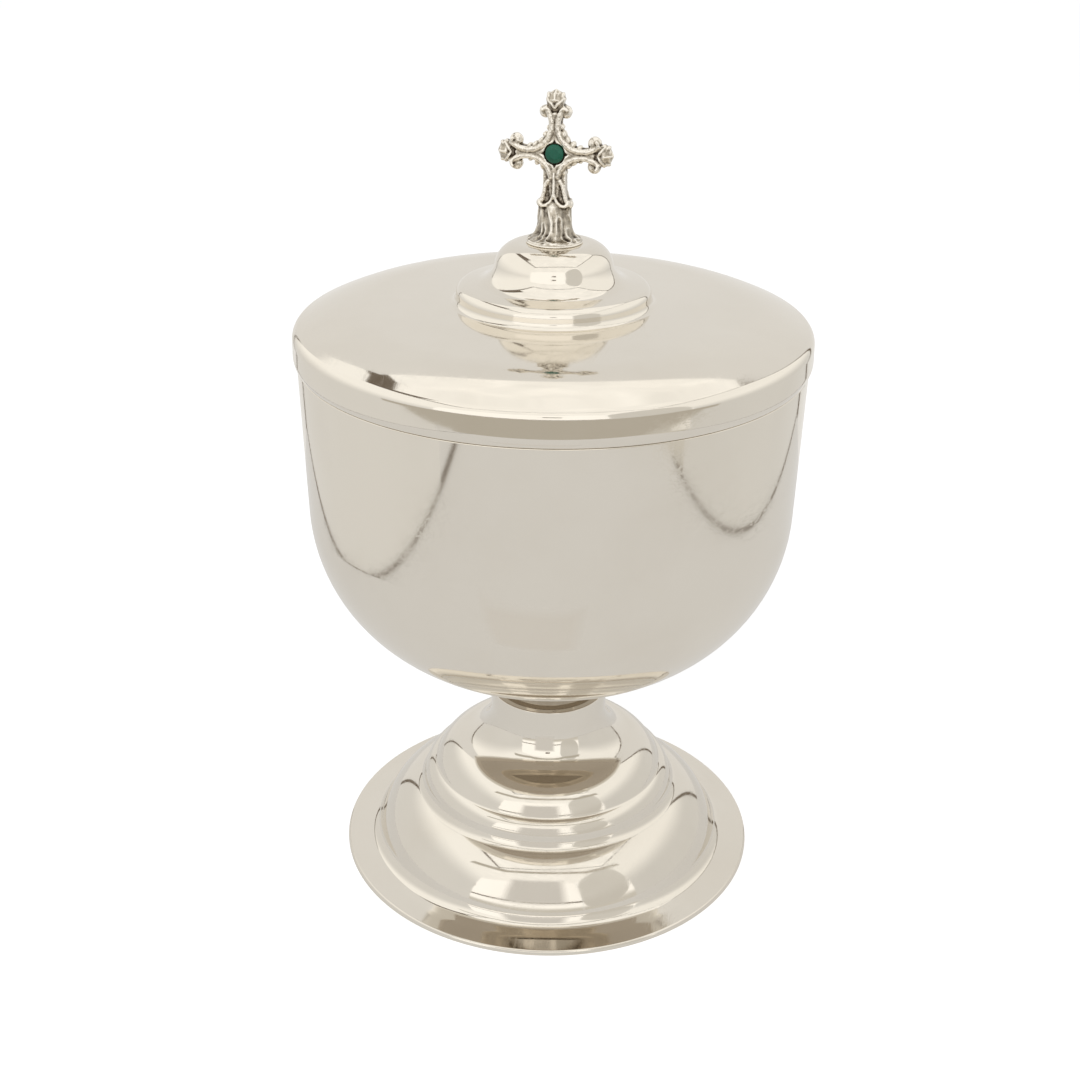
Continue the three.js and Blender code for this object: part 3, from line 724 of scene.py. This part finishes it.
# Base: two thin discs, one on the other
rows = []
for v, r in ((BASE, 5.5), (BASE + 0.08, 5.7), (BASE + 0.3, 5.7), (BASE + 0.4, 5.35),
             (BASE + 0.5, 5.5), (BASE + 0.72, 5.5), (BASE + 0.82, 5.1), (BASE + 1.0, 5.0)):
    rows.append([casting.verts.new((r * math.cos(a), r * math.sin(a), v))
                 for a in np.linspace(0, 2 * math.pi, 72, endpoint=False)])
skinned(rows)

cast_mesh = bpy.data.meshes.new("cross_casting")
casting.to_mesh(cast_mesh)
casting.free()
cross = bpy.data.objects.new("cross_casting", cast_mesh)
bpy.context.scene.collection.objects.link(cross)
skin = cross.modifiers.new("one skin", "REMESH")
skin.mode, skin.voxel_size = "VOXEL", 0.125
soften = cross.modifiers.new("soft edges", "SMOOTH")
soften.factor, soften.iterations = 0.5, 3
applied(cross)

# The concave diamond round the stone and the stone's pocket are pressed in afterwards
POCKET, POCKET_FLOOR, RECESS_ARC, RECESS_FLOOR = 2.1, 0.55, 6.05, 0.9
spots = np.array([v.co for v in cross.data.vertices])
u, y, v = spots.T
inside = np.ones(len(spots), bool)
for su in (-1, 1):
    for sv in (-1, 1):
        inside &= np.hypot(u - su * BAY, v - sv * BAY) > RECESS_ARC
inside &= (y < 0) & (np.abs(u) < 3.2) & (np.abs(v) < 3.2)
y = np.where(inside, np.maximum(y, -RECESS_FLOOR), y)
pocket = (np.hypot(u, v) < POCKET) & (y < 0)
y = np.where(pocket, np.maximum(y, -POCKET_FLOOR), y)
spots = np.stack([u, y, v], 1)

# Casting skin: a fine uneven surface, with chipped facets on the trunk
lows = []
for a, b, c in spots:
    deep = noise.noise(Vector((a * 1.3, b * 1.3, c * 1.3)))
    fine = noise.noise(Vector((a * 3.1 + 9, b * 3.1, c * 3.1)))
    chip = 0.5 - abs(noise.noise(Vector((a * 0.62, b * 0.62, c * 0.3 + 4))))
    low_part = min(max((-9.5 - c) / 2.0, 0.0), 1.0)
    lows.append(0.045 * deep + (0.03 - 0.015 * low_part) * fine + low_part * (0.5 * chip - 0.24))
normals = np.zeros(len(spots) * 3)
cross.data.vertices.foreach_get("normal", normals)
normals = normals.reshape(-1, 3)
calm = np.clip((spots[:, 2] - BASE - 0.4) / 0.8, 0, 1)
spots = spots + normals * (np.array(lows) * calm)[:, None]
spots[:, 2] = np.maximum(spots[:, 2], BASE)

# How hollow each spot is, from how far its smoothed neighbourhood lies outside it
ties = np.zeros(len(cross.data.edges) * 2, int)
cross.data.edges.foreach_get("vertices", ties)
ties = ties.reshape(-1, 2)
shares = np.bincount(ties.ravel(), minlength=len(spots))[:, None]
even, hollows = spots.copy(), np.zeros(len(spots))
DEPTHS = {6: 0.09, 20: 0.13, 60: 0.2}      # mm that count as hollow after so many smoothings
for step in range(1, max(DEPTHS) + 1):
    total = np.zeros_like(even)
    for k in range(3):
        total[:, k] = (np.bincount(ties[:, 0], even[ties[:, 1], k], len(spots))
                       + np.bincount(ties[:, 1], even[ties[:, 0], k], len(spots)))
    even = 0.5 * even + 0.5 * total / shares
    if step in DEPTHS:
        hollows += ((even - spots) * normals).sum(1) / DEPTHS[step]
u, y, v = spots.T
# The recess round the stone counts as fully hollow, so it takes the darkest painted shade
in_recess = (np.abs(u) + np.abs(v) < 2.75) & (np.hypot(u, v) < 2.6) & (y < 0) & (y > -1.05)
hollows = np.where(in_recess, 3.0, hollows)
hollow = cross.data.attributes.new("hollow", "FLOAT", "POINT")
hollow.data.foreach_set("value", np.clip(hollows / 1.6, -1, 1.5))

spots = (spots + np.array((0.0, 0.0, CENTRE))) * 0.001
node_low, node_high = (np.array(c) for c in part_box("cross"))
spots = np.clip(spots, node_low, node_high)
cross.data.vertices.foreach_set("co", spots.ravel())
cross.data.update()
cross.data.shade_smooth()

cast = bpy.data.materials.new("cast_plate")
cast.use_nodes = True
tree = cast.node_tree
metal = tree.nodes["Principled BSDF"]
metal.inputs["Metallic"].default_value = 1.0
place = tree.nodes.new("ShaderNodeTexCoord").outputs["Object"]
sunk = add(tree, "ShaderNodeAttribute", attribute_name="hollow").outputs["Fac"]
grain = add(tree, "ShaderNodeTexNoise", {"Vector": place, "Scale": 1500.0, "Detail": 4.0})
# Painted shade: the deeper a spot lies in a hollow, the nearer its colour goes to near black, and
# the rougher it is
painted_shade_mask = maths(tree, "MULTIPLY", sunk, maths(tree, "ADD", grain.outputs[0], 0.6), clamp=True)
# Ridges are lighter: partly the polish that tumbling rubs on them, partly a painted highlight
worn_and_highlit = maths(tree, "MULTIPLY_ADD", sunk, -2.2, -0.25, clamp=True)
plain = add(tree, "ShaderNodeMix", {"Factor": worn_and_highlit, 6: (0.47, 0.425, 0.355, 1.0),
                                    7: (0.84, 0.80, 0.73, 1.0)}, data_type="RGBA")
tone = add(tree, "ShaderNodeMix", {"Factor": painted_shade_mask, 6: plain.outputs[2],
                                   7: (0.05, 0.036, 0.025, 1.0)}, data_type="RGBA")
tree.links.new(tone.outputs[2], metal.inputs["Base Color"])
tree.links.new(maths(tree, "MULTIPLY_ADD", painted_shade_mask, 0.35, 0.06), metal.inputs["Roughness"])
skin_bump = add(tree, "ShaderNodeBump", {"Height": maths(tree, "MULTIPLY", grain.outputs[0], 3e-5),
                                         "Distance": 1.0})
tree.links.new(skin_bump.outputs[0], metal.inputs["Normal"])
cross.data.materials.clear()
cross.data.materials.append(cast)
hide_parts("cross")
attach(cross, "lid_assembly")


# ------------------------------------------------------------------------------ stone
# A green glass cabochon, cemented into the round pocket in the front of the cross.
stone = spin("cabochon", [(0.0, 0.0), (1.82, 0.0, 0.05), (1.82, 0.65, 0.3), (1.0, 0.95, 0.9),
                          (0.0, 0.95)], around=96)
stone.data.transform(Matrix.Translation((0, -POCKET_FLOOR * 0.001, CENTRE * 0.001))
                     @ Matrix.Rotation(math.pi / 2, 4, "X"))
green = bpy.data.materials.new("green_glass")
green.use_nodes = True
tree = green.node_tree
glass = tree.nodes["Principled BSDF"]
glass.inputs["Specular IOR Level"].default_value = 0.35
place = tree.nodes.new("ShaderNodeTexCoord").outputs["Object"]
cloud = add(tree, "ShaderNodeTexNoise", {"Vector": place, "Scale": 700.0, "Detail": 3.0})
fleck = add(tree, "ShaderNodeTexVoronoi", {"Vector": place, "Scale": 2300.0})
deep = add(tree, "ShaderNodeMix", {"Factor": cloud.outputs[0], 6: (0.004, 0.10, 0.06, 1.0),
                                   7: (0.008, 0.145, 0.085, 1.0)}, data_type="RGBA")
specks = maths(tree, "MULTIPLY", maths(tree, "SUBTRACT", 0.11, fleck.outputs["Distance"]), 12.0,
               clamp=True)
tint = add(tree, "ShaderNodeMix", {"Factor": specks, 6: deep.outputs[2],
                                   7: (0.16, 0.07, 0.04, 1.0)}, data_type="RGBA")
tree.links.new(tint.outputs[2], glass.inputs["Base Color"])
tree.links.new(maths(tree, "MULTIPLY_ADD", cloud.outputs[0], 0.12, 0.16),
               glass.inputs["Roughness"])
stone.data.materials.append(green)
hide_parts("cross_stone")
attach(stone, "lid_assembly")


# ------------------------------------------------------------------------------ studio
# A white floor, and round the piece a tent of pale cloth that only the mirror surfaces see: walls
# that get brighter upwards, sewn seams, a bright ceiling, and a front with a hanging flap and two
# low cards, the apron before the foot and the brim before the lid.
WARMTH = np.array((0.90, 0.882, 0.855))


def glow(name, low, high=None, rise=(60, 170), wrinkles=0.0, scale=6.0, soft=0.0):
    """Cloth of the tent, which gives its own light: one grey below and another above, between two
    heights in mm, with faint folds. A soft card fades out over that share of it at each edge."""
    material = bpy.data.materials.new(name)
    material.use_nodes = True
    tree = material.node_tree
    tree.nodes.remove(tree.nodes["Principled BSDF"])
    light = tree.nodes.new("ShaderNodeEmission")
    place = tree.nodes.new("ShaderNodeTexCoord").outputs["Object"]
    tall = add(tree, "ShaderNodeSeparateXYZ", {0: place}).outputs[2]
    up = add(tree, "ShaderNodeMapRange", {"Value": tall, "From Min": rise[0] * 0.001,
                                          "From Max": rise[1] * 0.001},
             interpolation_type="SMOOTHSTEP").outputs[0]
    fold = add(tree, "ShaderNodeTexNoise", {"Vector": place, "Scale": scale, "Detail": 3.0,
                                            "Distortion": 0.8})
    tone = add(tree, "ShaderNodeMix", {
        "Factor": up, 6: (*(WARMTH * low), 1.0), 7: (*(WARMTH * (high or low)), 1.0)},
        data_type="RGBA")
    dim = maths(tree, "SUBTRACT", 1.0, maths(tree, "MULTIPLY", fold.outputs[0], 0.5 * wrinkles))
    tree.links.new(tone.outputs[2], light.inputs["Color"])
    tree.links.new(dim, light.inputs["Strength"])
    surface = light.outputs[0]
    if soft:
        card = add(tree, "ShaderNodeSeparateXYZ",
                   {0: tree.nodes.new("ShaderNodeTexCoord").outputs["Generated"]})
        edges = [maths(tree, "PINGPONG", card.outputs[k], 0.5) for k in (0, 2)]
        cover = maths(tree, "DIVIDE", maths(tree, "MINIMUM", *edges), soft, clamp=True)
        surface = add(tree, "ShaderNodeMixShader", {
            0: cover, 1: tree.nodes.new("ShaderNodeBsdfTransparent").outputs[0],
            2: surface}).outputs[0]
    tree.links.new(surface, tree.nodes["Material Output"].inputs["Surface"])
    return material


def cloth(name, corners, material):
    """A flat card of the tent, corners in mm as the camera sees the tent."""
    mesh = bpy.data.meshes.new(name)
    mesh.from_pydata([TURN @ Vector(c) * 0.001 for c in corners], [], [range(len(corners))])
    mesh.materials.append(material)
    card = bpy.data.objects.new(name, mesh)
    bpy.context.scene.collection.objects.link(card)
    card.visible_camera = card.visible_diffuse = card.visible_shadow = False
    return card


def upright(name, start, end, low, high, material):
    """An upright card between two spots (x, y) on the floor, from one height to another."""
    return cloth(name, [(*start, low), (*end, low), (*end, high), (*start, high)], material)


LEFT, RIGHT, BACK, TOP, FRONT = -190, 225, 215, 415, -420
LEFT_END, RIGHT_END = (LEFT, -190), (RIGHT, -162)
FRONT_END, FLAP_END, FLOOR_END = (-480, FRONT), (170, FRONT), -330
wall_left = glow("tent_wall_left", (0.92, 0.92, 0.91), (1.30, 1.30, 1.28), (90, 220), 0.12)
wall_right = glow("tent_wall_right", (0.88, 0.88, 0.87), (1.24, 1.24, 1.22), (90, 220), 0.12)
wall_back = glow("tent_back", (0.97, 0.97, 0.965), wrinkles=0.12)
ceiling = glow("tent_ceiling", (1.52, 1.52, 1.50), wrinkles=0.6, scale=16.0)
front = glow("tent_front", (0.80, 0.78, 0.73), (1.45, 1.45, 1.44), (22, 60), 0.06)
flap = glow("tent_flap", (0.80, 0.785, 0.75), (0.86, 0.85, 0.82), wrinkles=0.12)
seam = glow("tent_seam", (0.20, 0.165, 0.13))
table = glow("table", (0.70, 0.67, 0.61))
apron = glow("apron", (0.835, 0.825, 0.81), wrinkles=0.08, soft=0.14)

upright("wall_left", (LEFT, BACK), LEFT_END, 0, TOP, wall_left)
upright("wall_right", (RIGHT, BACK), RIGHT_END, 0, TOP, wall_right)
upright("wall_back", (LEFT, BACK), (RIGHT, BACK), 0, TOP, wall_back)
upright("front", FRONT_END, FLAP_END, 0, TOP, front)
upright("front_left", LEFT_END, FRONT_END, 0, TOP, front)
cloth("ceiling", [(LEFT - 300, BACK, TOP), (RIGHT + 250, BACK, TOP), (RIGHT + 250, FRONT, TOP),
                  (LEFT - 300, FRONT, TOP)], ceiling)
cloth("table", [(-700, -335, 0.4), (-700, -900, 0.4), (700, -900, 0.4), (700, -335, 0.4)], table)
upright("apron", (-34, -80), (17, -80), 13, 68, apron)

# The flap hangs at the right of the opening and has round corners
across = Vector(FLAP_END) - Vector(RIGHT_END)
hang = []
for a in np.linspace(0, 2 * math.pi, 48, endpoint=False):
    c, s = math.cos(a), math.sin(a)
    w = 0.5 + 0.5 * math.copysign(abs(c) ** 0.6, c)
    hang.append((RIGHT_END[0] + w * across.x, RIGHT_END[1] + w * across.y,
                 215 + 195 * math.copysign(abs(s) ** 0.6, s)))
cloth("flap", hang, flap)
upright("behind_flap", (RIGHT_END[0] + 4, RIGHT_END[1]), (FLAP_END[0] + 4, FRONT), 0, TOP, front)

# Seams along the floor, in the far corners, under the ceiling and across the front
for x, lean, tall in ((LEFT, 10, 200), (RIGHT, -14, TOP)):
    cloth("seam_floor", [(x - 4, BACK, 0.5), (x - 4, FLOOR_END, 0.5), (x + 4, FLOOR_END, 0.5),
                         (x + 4, BACK, 0.5)], seam)
    upright("seam_corner", (x, BACK - 1), (x + lean, BACK - 1), 0, tall, seam)
cloth("seam_top", [(LEFT + 1, BACK, 378), (LEFT + 1, BACK, TOP - 1), (LEFT + 1, -190, TOP - 5),
                   (LEFT + 1, -190, 392)], seam)
cloth("seam_top", [(LEFT + 1, BACK, TOP - 1), (LEFT + 14, BACK, TOP - 1), (LEFT + 40, 0, TOP - 1),
                   (LEFT + 1, 0, TOP - 1)], seam)
upright("seam_top", (RIGHT - 1, BACK), (RIGHT - 1, RIGHT_END[1]), TOP - 12, TOP - 1, seam)
cloth("seam_front", [(*LEFT_END, 392), (*LEFT_END, 410), (0, -180, 400), (*RIGHT_END, 410),
                     (*RIGHT_END, 394), (0, -180, 384)], seam)
upright("seam_low", (FRONT_END[0], FRONT + 1), (FLAP_END[0], FRONT + 1), 98, 114, seam)
upright("seam_low", (LEFT + 1, -191), (FRONT_END[0] + 1, FRONT), 103, 117, seam)

# The brim greys the lid's band, and a small dark card in the opening stands for the camera
brim = glow("brim", (0.60, 0.57, 0.51))
brim_line = [(-95, -60), (-50, -84), (50, -84), (90, -62)]
for start, end in zip(brim_line, brim_line[1:]):
    upright("brim", start, end, 104, 120, brim)
upright("viewer", (-20, -310), (20, -310), 205, 232, seam)

# The floor shows as white paper with the object's shadow. In mirrors most of its brightness is
# its own, so it is also seen inside the foot, and from below it is clear.
floor_mesh = bpy.data.meshes.new("floor")
floor_mesh.from_pydata([(-6, -6, 0), (6, -6, 0), (6, 6, 0), (-6, 6, 0)], [], [(0, 1, 2, 3)])
floor = bpy.data.objects.new("floor", floor_mesh)
bpy.context.scene.collection.objects.link(floor)
paper = bpy.data.materials.new("white_paper")
paper.use_nodes = True
tree = paper.node_tree
tree.nodes.remove(tree.nodes["Principled BSDF"])
rays = tree.nodes.new("ShaderNodeLightPath")
mirrored = add(tree, "ShaderNodeEmission", {
    "Color": (0.70, 0.69, 0.672, 1.0),
    "Strength": maths(tree, "MULTIPLY", rays.outputs["Is Glossy Ray"], 0.84)})
lit = add(tree, "ShaderNodeAddShader", {
    0: add(tree, "ShaderNodeBsdfDiffuse", {"Color": (0.20, 0.195, 0.188, 1.0)}).outputs[0],
    1: mirrored.outputs[0]})
shown_lit = add(tree, "ShaderNodeBsdfDiffuse", {"Color": (0.5, 0.5, 0.5, 1.0)})
shown_own = add(tree, "ShaderNodeEmission", {"Color": (1, 1, 1, 1), "Strength": 0.74})
shown = add(tree, "ShaderNodeAddShader", {0: shown_lit.outputs[0], 1: shown_own.outputs[0]})
mixed = add(tree, "ShaderNodeMixShader", {0: rays.outputs["Is Camera Ray"], 1: lit.outputs[0],
                                          2: shown.outputs[0]})
clear = tree.nodes.new("ShaderNodeBsdfTransparent")
sides = add(tree, "ShaderNodeMixShader", {
    0: tree.nodes.new("ShaderNodeNewGeometry").outputs["Backfacing"], 1: mixed.outputs[0],
    2: clear.outputs[0]})
tree.links.new(sides.outputs[0], tree.nodes["Material Output"].inputs["Surface"])
floor_mesh.materials.append(paper)

# The room is white where it is seen or mirrored, and lights the piece with half of that
world = bpy.data.worlds.new("room")
bpy.context.scene.world = world
world.use_nodes = True
tree = world.node_tree
room = tree.nodes["Background"]
rays = tree.nodes.new("ShaderNodeLightPath")
seen = maths(tree, "MAXIMUM", rays.outputs["Is Camera Ray"], rays.outputs["Is Glossy Ray"])
tree.links.new(maths(tree, "MULTIPLY_ADD", seen, 0.5, 0.5), room.inputs["Strength"])
room.inputs["Color"].default_value = (1, 1, 1, 1)

for name, spot, size, power in (("key", (-0.45, -0.75, 0.95), 0.7, 5.0),
                                ("fill", (0.8, -0.45, 0.8), 0.8, 3.0)):
    lamp = bpy.data.objects.new(name, bpy.data.lights.new(name, "AREA"))
    lamp.data.size = size
    lamp.data.energy = power
    lamp.location = TURN @ Vector(spot)
    lamp.rotation_euler = (Vector((0, 0, 0.06)) - lamp.location).to_track_quat("-Z", "Y").to_euler()
    lamp.visible_glossy = False
    bpy.context.scene.collection.objects.link(lamp)

bpy.context.scene.view_settings.view_transform = "Standard"
